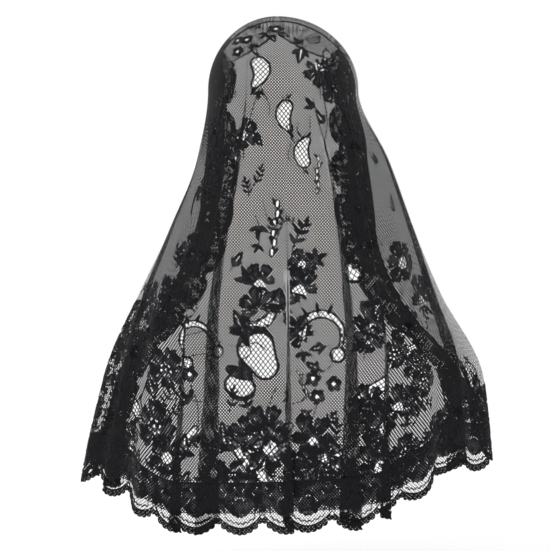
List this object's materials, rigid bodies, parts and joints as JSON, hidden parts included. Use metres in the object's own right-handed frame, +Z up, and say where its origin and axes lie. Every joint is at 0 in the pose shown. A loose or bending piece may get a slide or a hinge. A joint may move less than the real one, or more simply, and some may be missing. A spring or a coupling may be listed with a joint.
{
  "type": "lace mantilla veil",
  "caption": "Black floral lace mantilla veil in its worn drape, open below and at the face, with a scalloped lace edging all round.",
  "frame": {"origin": "inner face of the net at the top of the head", "axes": "+Z up, +X to the wearer's right, +Y the way the wearer faces, so the back of the veil is at -Y"},
  "size_m": [0.5252, 0.2701, 0.6484],
  "materials": {
    "lace_net": "matt black net lace",
    "lace_edging": "matt black lace edging"
  },
  "bodies": {
    "root": {"lace_panel": "lace_net", "hem_edging": "lace_edging", "face_edging": "lace_edging"}
  },
  "joints": []
}
